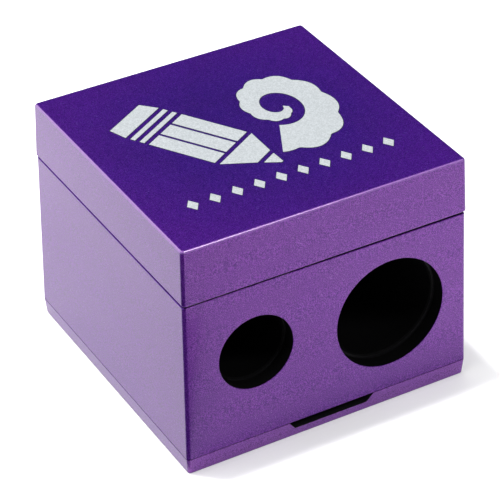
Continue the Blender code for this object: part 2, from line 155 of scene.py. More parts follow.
RIB_REACH = 7.00 * MM
RIB_DROP = 2.20 * MM
RIB_BITE = 0.30 * MM
POCKET_HALF_WIDTH = 3.30 * MM
POCKET_TOP_Z = 5.60 * MM

# Blades and screws.
BLADE_THICKNESS = 0.50 * MM
BLADE_EDGE_THICKNESS = 0.06 * MM
BLADE_GRIND = 1.00 * MM
BLADE_START = 1.00 * MM
BLADE_HOLE_RADIUS = 0.95 * MM
COUNTERSINK = 0.12 * MM
SMALL_BLADE_WIDTH = 4.60 * MM
SMALL_BLADE_END = 15.50 * MM
LARGE_BLADE_WIDTH = 6.20 * MM
LARGE_BLADE_END = 19.50 * MM
SCREW_PLACE = 0.80
SCREW_OFFSET = 0.63
BLADE_SCREW_HEAD_RADIUS = 1.60 * MM
BLADE_SCREW_SHANK_RADIUS = 0.60 * MM
BLADE_SCREW_LENGTH = 2.40 * MM
SCREW_HEAD_HEIGHT = 0.80 * MM
SCREW_SLOT_WIDTH = 0.40 * MM
SCREW_SLOT_DEPTH = 0.40 * MM
THREAD_DEPTH = 0.10 * MM
THREAD_PITCH = 0.35 * MM
THREAD_RUNOUT = 0.50 * MM
SCREW_POINT = 0.40 * MM
SCREW_POINT_SHARE = 0.45
SCREW_EDGE = 0.05 * MM
SCREW_DOME = 0.15 * MM
# Name, x and z of each screw that holds the insert.
INSERT_SCREWS = (
    ("insert_screw_left", -12.60 * MM, 5.20 * MM),
    ("insert_screw_right", 13.50 * MM, 4.90 * MM),
    ("insert_screw_top", -1.63 * MM, 17.60 * MM),
)
INSERT_SCREW_HEAD_RADIUS = 1.35 * MM
INSERT_SCREW_SHANK_RADIUS = 0.60 * MM
INSERT_PILOT_DEPTH = 0.80 * MM
PIN_HALF_LENGTH = 10.90 * MM
PIN_ROUNDING = 0.30 * MM
PIN_GROOVE_START = 0.70 * MM
PIN_GROOVE_WIDTH = 0.33 * MM
PIN_GROOVE_DEPTH = 0.08 * MM

# Liners and cleaning stick.
LINER_HALF = 15.30 * MM
LINER_WALL = 1.00 * MM
LINER_SKIRT_Z = 19.70 * MM
STICK_RADIUS = 1.25 * MM
STICK_TIP_RADIUS = 0.35 * MM
STICK_LENGTH = 24.00 * MM
STICK_TAPER = 7.00 * MM
STICK_BLADE_LENGTH = 6.00 * MM
STICK_BLADE_THICKNESS = 0.90 * MM
STICK_BLADE_TAPER = 0.8
STICK_BLADE_RUNOUT = 1.00 * MM
STICK_RINGS = 3
STICK_RINGS_FROM = -1.20 * MM
STICK_RING_PITCH = 0.90 * MM
STICK_RING_WIDTH = 0.50 * MM
STICK_RING_DEPTH = 0.12 * MM
STICK_END_ROUNDING = 0.50 * MM
STICK_Y = 3.50 * MM
STICK_CEILING_GAP = 0.40 * MM
CLIP_X = 5.50 * MM
CLIP_LENGTH = 2.60 * MM
CLIP_WALL = 0.80 * MM
CLIP_SLACK = 0.20 * MM
CLIP_LIP = 0.20 * MM
CLIP_LIP_IN = 0.25 * MM
CLIP_LIP_OUT = 0.15 * MM
CLIP_ROOT_HEIGHT = 0.50 * MM
CLIP_ROOT_WIDTH = 0.40 * MM
CEILING_RIB_HALF = 0.30 * MM
CEILING_RIB_HEIGHT = 0.25 * MM
DOOR_LINER_HALF = 15.10 * MM
DOOR_LINER_LOW = 2.04 * MM
DOOR_LINER_THICKNESS = 0.90 * MM
DOOR_LINER_DISH = 0.35 * MM
DOOR_LINER_RIM = 1.20 * MM
TONGUE_HALF_WIDTH = 2.60 * MM
TONGUE_THICKNESS = 0.80 * MM
TONGUE_TOP_Z = 5.10 * MM
TONGUE_FOOT = 0.50 * MM
TONGUE_RELIEF = 0.15 * MM
TONGUE_RELIEF_START = 0.20 * MM
TONGUE_NOSE_WIDTH = 0.35 * MM
TONGUE_NOSE_TOP = 0.50 * MM
TONGUE_NOSE_LOW = 0.90 * MM
TONGUE_NOSE_END = 1.10 * MM

# Door notch.
NOTCH_TOP_LEFT = -5.06 * MM
NOTCH_TOP_RIGHT = 5.52 * MM
NOTCH_BOTTOM_LEFT = -4.29 * MM
NOTCH_BOTTOM_RIGHT = 4.66 * MM
NOTCH_BOTTOM_Z = 0.98 * MM
NOTCH_INNER_Y = -15.50 * MM

# Meshing: steps of a large and of a small full turn, and of a quarter turn. Cutters overrun by OVERCUT.
ROUND_STEPS = 128
SMALL_ROUND_STEPS = 64
CORNER_STEPS = 8
RIM_STEPS = 4
SHARP_ANGLE = math.radians(50.0)
EDGE_ANGLE = math.radians(30.0)
OVERCUT = 1.0 * MM
FAR = 40.0 * MM

# How far behind the outer skin the lacquer reaches, and the margin within which a face is looked for.
PAINT_DEPTH = 0.25 * MM
FACE_MARGIN = 0.05 * MM

# Printed ornament, across the lid's top.
PRINT_BED = 0.010 * MM
PRINT_THICKNESS = 0.035 * MM
OUTLINE_THICKNESS = 0.012 * MM
OUTLINE_GROW = 0.07 * MM
PRINT_ROUNDING = 0.4
PENCIL_TAIL = (-9.9 * MM, 8.9 * MM)
PENCIL_TIP = (0.2 * MM, -7.5 * MM)
# Each bar's start and end as shares of the pencil's length, and its widths there.
PENCIL_PARTS = (
    (0.00, 0.115, 6.0 * MM, 6.9 * MM),
    (0.145, 0.175, 6.9 * MM, 6.9 * MM),
    (0.205, 0.235, 6.9 * MM, 6.9 * MM),
    (0.71, 0.885, 6.9 * MM, 2.7 * MM),
    (0.915, 1.00, 2.1 * MM, 0.28 * MM),
)
FACET_FROM = 0.265
FACET_TO = 0.68
FACET_WIDTH = 2.07 * MM
FACET_GAP = 0.35 * MM
CURL_CENTRE = (5.35 * MM, 2.6 * MM)
CURL_FROM = math.radians(-122.0)
CURL_TO = math.radians(330.0)
CURL_RADIUS_START = 5.3 * MM
CURL_RADIUS_END = 0.9 * MM
CURL_WIDTH_START = 3.9 * MM
CURL_WIDTH_END = 0.6 * MM
CURL_STRETCH = 1.28
CURL_SCALLOPS = 5.0
CURL_SCALLOP_DEPTH = 0.16
CURL_STEPS = 240
LOZENGE_COUNT = 10
LOZENGE_FROM = -11.8 * MM
LOZENGE_TO = 11.7 * MM
LOZENGE_Y = -9.95 * MM
LOZENGE_HALF = 1.0 * MM
LOZENGE_SHARE = 0.66
LOZENGE_GROW = 1.3

# Studio. The black card is a sector about the near corner, and shorter past the angle of its turn.
ROOM_GREY = (0.42, 0.42, 0.42)
ROOM_DARK = (0.05, 0.05, 0.055)
ROOM_PALE = (1.0, 1.0, 1.0)
CARD_HEIGHT = 0.3 * MM
BLACK_CARD_RADIUS = 140.0 * MM
BLACK_CARD_NEAR_RADIUS = 30.5 * MM
BLACK_CARD_FROM = math.radians(135.0)
BLACK_CARD_TURN = math.radians(275.0)
BLACK_CARD_TO = math.radians(301.0)
BLACK_CARD_STEPS = 24
WHITE_CARD_FROM = 15.0 * MM
WHITE_CARD_NEAR = 26.0 * MM
WHITE_CARD_REACH = 90.0 * MM
WHITE_CARD_BRIGHTNESS = 1.95
FLOOR_HALF = 3.0
FLOOR_THICKNESS = 0.02

# Square lights: name, direction from the object, distance, side, watts, and whether reflections show it.
LIGHTS = (
    ("key", (-0.115, 0.100, 1.0), 0.60, 0.03, 2.2, False),
    ("overhead", (-0.30, 0.25, 1.0), 0.60, 0.60, 3.3, True),
    ("left_edge", (-0.563, 0.7235, 0.40), 0.50, 0.30, 0.66, True),
    ("front_edge", (0.30, -0.563, 0.7235), 0.50, 0.10, 0.95, True),
)

# Lacquer colours: the body colour, what it gains away from the middle as a painted lightening towards the
# faces' edges, and the flake seen by reflection.
# The door's front face has a paler pair of its own, a painted lightening of that downward-tilted face.
VIOLET = (0.0066, 0.0008, 0.092)
PAINTED_LIFT_VIOLET = (0.030, 0.0006, 0.040)
MAGENTA = (0.47, 0.040, 0.76)
FLAKE_GLINT = 0.120
DOOR_LIT_VIOLET = (0.066, 0.030, 0.176)
DOOR_LIT_MAGENTA = (0.74, 0.060, 0.92)


# Node graphs


class Graph:
    """A small helper for building a material's nodes. Coordinates are millimetres in the frame's axes."""

    def __init__(self, name):
        self.material = bpy.data.materials.new(name)
        self.material.use_nodes = True
        self.nodes = self.material.node_tree.nodes
        self.links = self.material.node_tree.links
        self.shader = self.nodes["Principled BSDF"]
        coordinates = self.nodes.new("ShaderNodeTexCoord")
        self.place = coordinates.outputs["Object"]
        self.place = self.stretched((1.0 / MM,) * 3)

    def feed(self, socket, value):
        """Set a socket to a value, or link it to another node's output."""
        if isinstance(value, bpy.types.NodeSocket):
            self.links.new(value, socket)
        else:
            socket.default_value = value

    def fill(self, node, inputs):
        for name, value in inputs.items():
            self.feed(node.inputs[name.replace("_", " ")], value)

    def set(self, **inputs):
        """Feed the shader's own inputs."""
        self.fill(self.shader, inputs)

    def node(self, kind, **inputs):
        node = self.nodes.new(kind)
        self.fill(node, inputs)
        return node

    def stretched(self, scale):
        return self.node("ShaderNodeMapping", Vector=self.place, Scale=scale).outputs["Vector"]

    def from_middle(self):
        """Distance from the vertical axis through the middle of the object."""
        node = self.node("ShaderNodeVectorMath", Vector=self.stretched((1.0, 1.0, 0.0)))
        node.operation = "LENGTH"
        return node.outputs["Value"]

    def noise(self, scale, detail=2.0, roughness=0.5, place=None):
        place = place or self.place
        node = self.node("ShaderNodeTexNoise", Scale=scale, Detail=detail, Roughness=roughness, Vector=place)
        return node.outputs["Fac"]

    def cells(self, scale):
        """A random value from 0 to 1 for each cell."""
        node = self.node("ShaderNodeTexVoronoi", Scale=scale, Vector=self.place)
        return self.node("ShaderNodeSeparateColor", Color=node.outputs["Color"]).outputs["Red"]

    def range(self, value, low, high, to_low=0.0, to_high=1.0):
        limits = {"From_Min": low, "From_Max": high, "To_Min": to_low, "To_Max": to_high}
        node = self.node("ShaderNodeMapRange", Value=value, **limits)
        node.interpolation_type = "SMOOTHSTEP"
        return node.outputs["Result"]

    def mix(self, factor, first, second):
        node = self.node("ShaderNodeMix", Factor=factor)
        node.data_type = "RGBA"
        for name, value in (("A", first), ("B", second)):
            socket = [s for s in node.inputs if s.name == name and s.type == "RGBA"][0]
            self.feed(socket, (*value, 1.0) if isinstance(value, tuple) else value)
        return [s for s in node.outputs if s.type == "RGBA"][0]

    def bump(self, height, distance_mm, strength=1.0, normal=None):
        node = self.node("ShaderNodeBump", Height=height, Strength=strength, Distance=distance_mm * MM)
        if normal is not None:
            self.feed(node.inputs["Normal"], normal)
        return node.outputs["Normal"]


def shade(colour, factor):
    return tuple(min(1.0, channel * factor) for channel in colour)


def lacquer(name, violet, magenta):
    """Deep violet lacquer over magenta flake, under a clear coat. The flake is the coloured reflection.

    Away from the vertical middle it turns paler and redder: a painted lightening of the faces towards their
    edges.
    """
    graph = Graph(name)
    grain = graph.range(graph.noise(10.5, 0.0), 0.34, 0.68)
    speck = graph.range(graph.cells(13.0), 0.950, 0.985)
    cloud = graph.range(graph.noise(0.22, 3.0), 0.3, 0.7)
    deep = graph.mix(cloud, shade(violet, 0.62), shade(violet, 0.74))
    pale = graph.mix(cloud, shade(violet, 1.26), shade(violet, 1.40))
    # Painted lightening: paler and redder with distance from the vertical middle.
    painted_lift = graph.range(graph.from_middle(), 6.0, 24.0, 0.0, 0.5)
    edge = tuple(channel + extra for channel, extra in zip(violet, PAINTED_LIFT_VIOLET))
    lifted_base = graph.mix(grain, shade(edge, 0.65), shade(edge, 1.35))
    base = graph.mix(painted_lift, graph.mix(grain, deep, pale), lifted_base)
    graph.set(Base_Color=graph.mix(speck, base, (0.030, 0.014, 0.16)))
    glint = tuple(min(1.0, 1.50 * channel + FLAKE_GLINT) for channel in magenta)
    flake = graph.mix(grain, shade(magenta, 0.48), glint)
    graph.set(Specular_Tint=graph.mix(speck, flake, (0.92, 0.36, 1.0)))
    graph.set(Roughness=graph.range(grain, 0.0, 1.0, 0.36, 0.46))
    peel = graph.bump(graph.noise(1.2, 2.0), 0.008, 0.3)
    graph.set(Normal=graph.bump(grain, 0.010, 0.5, peel))
    graph.set(IOR=2.3, Coat_Weight=1.0, Coat_Roughness=0.14, Coat_IOR=1.25)
    return graph.material


def painted_edge_highlight():
    """A painted highlight for the rounding round the lid's top: paler and pinker."""
    graph = Graph("painted_edge_highlight")
    grain = graph.range(graph.noise(6.5, 2.0, 0.75), 0.34, 0.68)
    graph.set(Base_Color=graph.mix(grain, (0.085, 0.035, 0.20), (0.14, 0.065, 0.28)))
    graph.set(Roughness=graph.range(grain, 0.0, 1.0, 0.30, 0.40))
    graph.set(Normal=graph.bump(grain, 0.006, 0.4))
    graph.set(IOR=2.0, Specular_Tint=(1.0, 0.45, 1.0, 1.0), Coat_Weight=1.0, Coat_Roughness=0.14)
    return graph.material


def painted_seam_shade():
    """Painted shade on the turned-in edges along the seam: a fixed saturated, matt violet."""
    graph = Graph("painted_seam_shade")
    grain = graph.range(graph.noise(7.5, 1.0, 0.6), 0.36, 0.66)
    graph.set(Base_Color=graph.mix(grain, (0.085, 0.020, 0.22), (0.150, 0.045, 0.36)))
    graph.set(Roughness=graph.range(grain, 0.0, 1.0, 0.45, 0.60))
    graph.set(Normal=graph.bump(grain, 0.006, 0.4), Specular_IOR_Level=0.1)
    return graph.material


def mottled(name, noises, colours, roughness, bump, **settings):
    """A material that varies a little. noises are those of its colour, roughness and surface."""
    graph = Graph(name)
    colour_noise, roughness_noise, bump_noise = (graph.noise(*noise) for noise in noises)
    graph.set(Base_Color=graph.mix(colour_noise, *colours))
    graph.set(Roughness=graph.range(roughness_noise, 0.3, 0.7, *roughness))
    graph.set(Normal=graph.bump(bump_noise, *bump), **settings)
    return graph.material


def painted_bore_shade():
    """Painted shade deep inside a bore: the black plastic made darker and dead matt."""
    noises = ((0.9, 4.0), (5.0, 4.0), (6.0, 3.0))
    colours = ((0.0010, 0.0010, 0.0012), (0.0020, 0.0019, 0.0022))
    return mottled("bore_painted_shade", noises, colours, (0.7, 0.85), (0.01, 0.5), Specular_IOR_Level=0.06)


# A dark border just wider than the print: painted shade along the print's edges.
def painted_print_shade():
    noises = ((6.0, 3.0),) * 3
    colours = ((0.006, 0.004, 0.020), (0.014, 0.010, 0.036))
    return mottled("painted_print_shade", noises, colours, (0.35, 0.5), (0.004, 0.5))


def silver_ink():
    graph = Graph("silver_ink")
    speck = graph.cells(9.0)
    graph.set(Base_Color=graph.mix(speck, (0.36, 0.385, 0.40), (0.49, 0.52, 0.54)))
    graph.set(Roughness=graph.range(graph.noise(5.0), 0.3, 0.7, 0.38, 0.52))
    graph.set(Normal=graph.bump(graph.noise(7.0, 3.0), 0.006, 0.7), Metallic=0.25)
    return graph.material


def black_plastic():
    noises = ((0.6, 4.0), (4.0, 4.0), (6.0, 3.0))
    colours = ((0.004, 0.004, 0.005), (0.008, 0.0075, 0.009))
    bump = (0.01, 0.6)
    return mottled("black_moulded_plastic", noises, colours, (0.46, 0.62), bump, Specular_IOR_Level=0.25)


def ground_steel():
    """Blade steel with grinding lines across it."""
    graph = Graph("ground_steel")
    lines = graph.noise(1.0, 4.0, 0.6, graph.stretched((0.4, 9.0, 9.0)))
    graph.set(Base_Color=graph.mix(lines, (0.36, 0.37, 0.39), (0.56, 0.57, 0.59)))
    graph.set(Roughness=graph.range(lines, 0.3, 0.7, 0.32, 0.46))
    graph.set(Normal=graph.bump(lines, 0.002, 0.4), Metallic=0.6)
    return graph.material


def plated_steel():
    noises = ((2.2, 5.0, 0.6), (2.2, 5.0, 0.6), (8.0, 3.0))
    colours = ((0.46, 0.46, 0.48), (0.66, 0.66, 0.68))
    return mottled("plated_steel", noises, colours, (0.24, 0.40), (0.002, 0.4), Metallic=0.7)


def stick_plastic():
    noises = ((0.8, 3.0), (4.0, 3.0), (3.0, 3.0))
    colours = ((0.52, 0.50, 0.56), (0.60, 0.58, 0.64))
    return mottled("stick_plastic", noises, colours, (0.30, 0.42), (0.01, 0.4))


def floor_paper():
    graph = Graph("floor_paper")
    graph.set(Base_Color=graph.mix(graph.noise(0.02, 2.0), (0.93, 0.93, 0.935), (0.95, 0.95, 0.955)))
    graph.set(Roughness=0.95, Specular_IOR_Level=0.1)
    return graph.material


LACQUER = lacquer("violet_flake_lacquer", VIOLET, MAGENTA)
DOOR_LIT_LACQUER = lacquer("door_front_painted_light", DOOR_LIT_VIOLET, DOOR_LIT_MAGENTA)
SEAM_SHADE_LACQUER = painted_seam_shade()
EDGE_HIGHLIGHT_LACQUER = painted_edge_highlight()
BORE_SHADE_BLACK = painted_bore_shade()
INK = silver_ink()
PRINT_EDGE_SHADE = painted_print_shade()
BLACK = black_plastic()
BLADE_STEEL = ground_steel()
PLATED = plated_steel()
STICK = stick_plastic()


# Mesh tools


def loft(rings, whole=None):
    """A closed skin through rings of equal point count, capped at both ends, added to whole if given."""
    bm = whole or bmesh.new()
    levels = [[bm.verts.new(point) for point in ring] for ring in rings]
    count = len(levels[0])
    for low, high in zip(levels, levels[1:]):
        for i in range(count):
            j = (i + 1) % count
            bm.faces.new((low[i], low[j], high[j], high[i]))
    bm.faces.new(levels[0])
    bm.faces.new(levels[-1])
    return bm


def rounded_square(half_x, half_y, radius, z):
    """A square with rounded corners, counter-clockwise from above. z is a height or a function of x, y."""
    points = []
    for quarter, (sx, sy) in enumerate(((1, 1), (-1, 1), (-1, -1), (1, -1))):
        for step in range(CORNER_STEPS + 1):
            angle = math.radians(90.0) * (quarter + step / CORNER_STEPS)
            x = sx * (half_x - radius) + radius * math.cos(angle)
            y = sy * (half_y - radius) + radius * math.sin(angle)
            points.append(Vector((x, y, z(x, y) if callable(z) else z)))
    return points


def square_ring(half, z):
    return rounded_square(half, half, CORNER_RADIUS, z)


def rounded_block(half, low, high):
    """An upright block with the cavity's corners."""
    return loft([rounded_square(half, half, CAVITY_RADIUS, z) for z in (low, high)])


def quarter_turn(steps):
    """Angles from 0 to 90 degrees in equal steps."""
    return [math.radians(90.0) * step / steps for step in range(steps + 1)]


def turned(profile, origin, direction, steps=SMALL_ROUND_STEPS, shear=0.0):
    """A solid of revolution through (distance, radius) pairs. shear tilts its rings to a drafted wall."""
    side = Z_AXIS.cross(direction)
    if side.length < 0.5:
        side = X_AXIS.copy()
    side.normalize()
    other = direction.cross(side)
    rings = []
    for distance, radius in profile:
        ring = []
        for step in range(steps):
            angle = math.tau * (step + 0.5) / steps
            offset = radius * (math.cos(angle) * side + math.sin(angle) * other)
            ring.append(origin + offset + direction * (distance + shear * offset.z))
        rings.append(ring)
    return loft(rings)


def prism(outline, origin, across, up, along, start, end):
    rings = []
    for distance in (start, end):
        rings.append([origin + across * a + up * b + along * distance for a, b in outline])
    return loft(rings)


def box(low, high):
    outline = ((low[0], low[1]), (high[0], low[1]), (high[0], high[1]), (low[0], high[1]))
    return prism(outline, Vector(), X_AXIS, Y_AXIS, Z_AXIS, low[2], high[2])


def mesh_object(name, bm):
    bmesh.ops.recalc_face_normals(bm, faces=bm.faces)
    mesh = bpy.data.meshes.new(name)
    bm.to_mesh(mesh)
    bm.free()
    mesh.shade_smooth()
    obj = bpy.data.objects.new(name, mesh)
    bpy.context.scene.collection.objects.link(obj)
    return obj


def combine(target, bm, operation):
    modifier = target.modifiers.new(operation, "BOOLEAN")
    modifier.operation = operation
    modifier.solver = "EXACT"
    modifier.object = mesh_object(f"{target.name}_tool", bm)


def add(target, bm):
    combine(target, bm, "UNION")


def cut(target, bm):
    combine(target, bm, "DIFFERENCE")


def apply_modifiers(obj):
    bpy.context.view_layer.update()
    tools = [m.object for m in obj.modifiers if m.type == "BOOLEAN"]
    graph = bpy.context.evaluated_depsgraph_get()
    mesh = bpy.data.meshes.new_from_object(obj.evaluated_get(graph))
    obj.modifiers.clear()
    obj.data = mesh
    for tool in tools:
        bpy.data.objects.remove(tool, do_unlink=True)


def finish_piece(obj, material, body, replaces=(), edge_mm=0.08, segments=3, finishes=()):
    """Cut, soften the edges, shade, and hand the piece to its body.

    finishes holds pairs of a test of a face and the material of the faces that pass it.
    """
    apply_modifiers(obj)
    obj.data.set_sharp_from_angle(angle=math.pi if edge_mm else SHARP_ANGLE)
    if edge_mm:
        bevel = obj.modifiers.new("soft_edges", "BEVEL")
        bevel.width = edge_mm * MM
        bevel.segments = segments
        bevel.limit_method = "ANGLE"
        bevel.angle_limit = EDGE_ANGLE
        bevel.use_clamp_overlap = True
    weighted = obj.modifiers.new("flat_faces", "WEIGHTED_NORMAL")
    weighted.keep_sharp = True
    apply_modifiers(obj)
    obj.data.materials.clear()
    obj.data.materials.append(material)
    for index, (test, other) in enumerate(finishes, 1):
        obj.data.materials.append(other)
        for face in obj.data.polygons:
            if test(face):
                face.material_index = index
    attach(obj, body)
    if replaces:
        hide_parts(*replaces)


# Hinges


def body_half(z):
    return SEAM_HALF + BODY_DRAFT * (LID_SEAM_Z - z)


LID_AXIS = Vector((0.0, SEAM_HALF + HINGE_OFFSET, LID_SEAM_Z))
DOOR_AXIS = Vector((0.0, body_half(DOOR_SEAM_Z) + HINGE_OFFSET, DOOR_SEAM_Z))
BODY_KNUCKLES = ((-KNUCKLE_OUTER_X, -KNUCKLE_INNER_X), (KNUCKLE_INNER_X, KNUCKLE_OUTER_X))
CENTRE_KNUCKLE = ((-KNUCKLE_INNER_X + KNUCKLE_SPACE, KNUCKLE_INNER_X - KNUCKLE_SPACE),)


def knuckle_cylinder(axis, radius, start, end):
    return turned(((start, radius), (end, radius)), axis, X_AXIS)


def hinge_leaf(target, axis, own, other, side):
    """Knuckles on webs at target's own spans, pockets for the other leaf's, and the pin's bore.

    side is 1 where the webs reach up from the axis, and -1 where they reach down.
    """
    for start, end in own:
        add(target, knuckle_cylinder(axis, KNUCKLE_RADIUS, start, end))
        near = axis.z + side * WEB_GAP
        far = axis.z + side * KNUCKLE_RADIUS * WEB_SHARE
        low = (start + WEB_INSET, axis.y - HINGE_OFFSET - WEB_BITE, min(near, far))
        high = (end - WEB_INSET, axis.y, max(near, far))
        add(target, box(low, high))
    for start, end in other:
        cut(target, knuckle_cylinder(axis, KNUCKLE_RADIUS + GAP, start - GAP, end + GAP))
    cut(target, knuckle_cylinder(axis, PIN_RADIUS + PIN_CLEARANCE, -FAR, FAR))


# Shell, lid and door


def off_middle(face):
    return max(abs(face.center.x), abs(face.center.y))


def shell_inside(face):
    return off_middle(face) < body_half(face.center.z) - PAINT_DEPTH


def hole_wall(face):
    """The edge of the front wall inside a pencil hole, which gets painted shade."""
    middle = face.center
    behind = middle.y > -CAVITY_HALF + FACE_MARGIN
    if behind or off_middle(face) > body_half(middle.z) - FACE_MARGIN:
        return False
    return any(math.hypot(middle.x - x, middle.z - z) < radius + 2 * FACE_MARGIN for x, z, radius in HOLES)


def lid_inside(face):
    return face.center.z < HEIGHT - PAINT_DEPTH and off_middle(face) < lid_half(face.center.z) - PAINT_DEPTH


def lid_edge(face):
    """The rounding round the lid's top, which carries a painted highlight."""
    return face.center.z > HEIGHT - 1.05 * LID_EDGE_RADIUS and 0.25 < face.normal.z < 0.90


def lid_seam_edge(face):
    """The rounding under the lid's left and right sides, which gets painted seam shade."""
    side = abs(face.center.x) > abs(face.center.y)
    return side and face.normal.z < -0.1 and face.center.z < LID_SEAM_Z + MM and not lid_inside(face)


def shell_seam_edge(face):
    """The small chamfer along the left and right of the shell's top, which gets painted seam shade."""
    middle = face.center
    side = abs(middle.x) > abs(middle.y) and middle.y < SEAM_HALF
    return side and face.normal.z > 0.3 and middle.z > LID_SEAM_Z - 2 * RIM_CHAMFER


def door_inside(face):
    return face.normal.z > -0.5 and off_middle(face) < body_half(DOOR_SEAM_Z) - DOOR_TAPER - PAINT_DEPTH


def door_front(face):
    return face.normal.y < -0.5


def body_shell():
    bottom = DOOR_SEAM_Z + RIM_CHAMFER / 2
    top = LID_SEAM_Z - RIM_CHAMFER
    rings = [
        square_ring(body_half(DOOR_SEAM_Z) - RIM_CHAMFER / 2, DOOR_SEAM_Z),
        square_ring(body_half(bottom), bottom),
        square_ring(body_half(top), top),
        square_ring(body_half(top) - RIM_CHAMFER, LID_SEAM_Z),
    ]
    shell = mesh_object("shell_skin", loft(rings))
    cut(shell, rounded_block(CAVITY_HALF, -FAR, FAR))
    for x, z, radius in HOLES:
        face = -body_half(z)
        profile = (
            (face - OVERCUT, radius + HOLE_CHAMFER + OVERCUT),
            (face + HOLE_CHAMFER, radius),
            (HOLE_CUT_END, radius),
        )
        cut(shell, turned(profile, Vector((x, 0.0, z)), Y_AXIS, ROUND_STEPS, BODY_DRAFT))
    hinge_leaf(shell, LID_AXIS, BODY_KNUCKLES, CENTRE_KNUCKLE, -1)
    hinge_leaf(shell, DOOR_AXIS, BODY_KNUCKLES, CENTRE_KNUCKLE, 1)
    finishes = ((shell_seam_edge, SEAM_SHADE_LACQUER), (shell_inside, BLACK), (hole_wall, BORE_SHADE_BLACK))
    finish_piece(shell, LACQUER, "body", ("body_shell",), 0.0, finishes=finishes)


def lid_rim(x, y, rise):
    """Height of the lid's lower rim, at a share of its rounding.

    The seam is a hairline, a little open towards the front right, and the rim is rounder at the sides.
    """
    front = max(0.0, -y / SEAM_HALF)
    rightness = 0.5 + 0.5 * x / SEAM_HALF
    leftness = max(0.0, -x / SEAM_HALF)
    along = y / SEAM_HALF
    left_bow = leftness * max(0.0, 1.0 - (along - SEAM_BOW_PLACE) ** 2 / SEAM_BOW_SPREAD)
    sideness = min(1.0, max(0.0, 0.5 + (abs(x) - abs(y)) / MM))
    radius = LID_RIM_RADIUS + (LID_RIM_SIDE_RADIUS - LID_RIM_RADIUS) * sideness
    gap = SEAM_GAP_MIN + SEAM_GAP_FRONT * front * rightness + SEAM_GAP_LEFT * left_bow
    return LID_SEAM_Z + gap + radius * rise


def lid_half(z):
    return SEAM_HALF + LID_PROUD - LID_DRAFT * (z - LID_SEAM_Z)


def top_lid():
    low = LID_SEAM_Z + SEAM_GAP_MIN
    shoulder = HEIGHT - LID_EDGE_RADIUS
    half = lid_half(low)
    rings = []
    for angle in quarter_turn(RIM_STEPS):
        side_edge = half - LID_RIM_SIDE_RADIUS * (1.0 - math.sin(angle))
        front_edge = half - LID_RIM_RADIUS * (1.0 - math.sin(angle))
        height_at = functools.partial(lid_rim, rise=1.0 - math.cos(angle))
        rings.append(rounded_square(side_edge, front_edge, CORNER_RADIUS, height_at))
    rings.append(square_ring(lid_half(shoulder), shoulder))
    for angle in quarter_turn(CORNER_STEPS)[1:]:
        inset = LID_EDGE_RADIUS * (1.0 - math.cos(angle))
        z = HEIGHT - LID_EDGE_RADIUS * (1.0 - math.sin(angle))
        edge = lid_half(shoulder) - inset
        radius = max(CORNER_RADIUS - LID_CORNER_SHRINK * inset, LID_CORNER_MIN)
        rings.append(rounded_square(edge, edge, radius, z))
    lid = mesh_object("lid_skin", loft(rings))
    cut(lid, rounded_block(CAVITY_HALF, 0.0, HEIGHT - LID_TOP_THICKNESS))
    hinge_leaf(lid, LID_AXIS, CENTRE_KNUCKLE, BODY_KNUCKLES, 1)
    # The rounding round the top gets a painted highlight.
    finishes = ((lid_inside, BLACK), (lid_edge, EDGE_HIGHLIGHT_LACQUER), (lid_seam_edge, SEAM_SHADE_LACQUER))
    finish_piece(lid, LACQUER, "lid", ("top_lid",), 0.0, finishes=finishes)


def bottom_door():
    top = DOOR_SEAM_Z - DOOR_GAP
    half_top = body_half(DOOR_SEAM_Z)
    half_low = half_top - DOOR_TAPER
    rings = []
    for angle in reversed(quarter_turn(CORNER_STEPS)[1:]):
        edge = half_low - DOOR_EDGE_RADIUS * (1.0 - math.cos(angle))
        rings.append(square_ring(edge, DOOR_EDGE_RADIUS * (1.0 - math.sin(angle))))
    rings.append(square_ring(half_low, DOOR_EDGE_RADIUS))
    rings.append(square_ring(half_top - DOOR_RIM_INSET, top - DOOR_RIM_CHAMFER))
    rings.append(square_ring(half_top - DOOR_RIM_INSET - DOOR_RIM_CHAMFER, top))
    door = mesh_object("door_skin", loft(rings))
    notch = (
        (NOTCH_BOTTOM_LEFT, NOTCH_BOTTOM_Z),
        (NOTCH_BOTTOM_RIGHT, NOTCH_BOTTOM_Z),
        (NOTCH_TOP_RIGHT, DOOR_SEAM_Z),
        (NOTCH_TOP_LEFT, DOOR_SEAM_Z),
    )
    cut(door, prism(notch, Vector(), X_AXIS, Z_AXIS, Y_AXIS, -FAR, NOTCH_INNER_Y))
    hinge_leaf(door, DOOR_AXIS, CENTRE_KNUCKLE, BODY_KNUCKLES, -1)
    # The door's front face gets a paler copy of the lacquer: painted light.
    finishes = ((door_front, DOOR_LIT_LACQUER), (door_inside, BLACK))
    finish_piece(door, LACQUER, "door", ("bottom_door",), 0.0, finishes=finishes)


# Insert, blades and screws


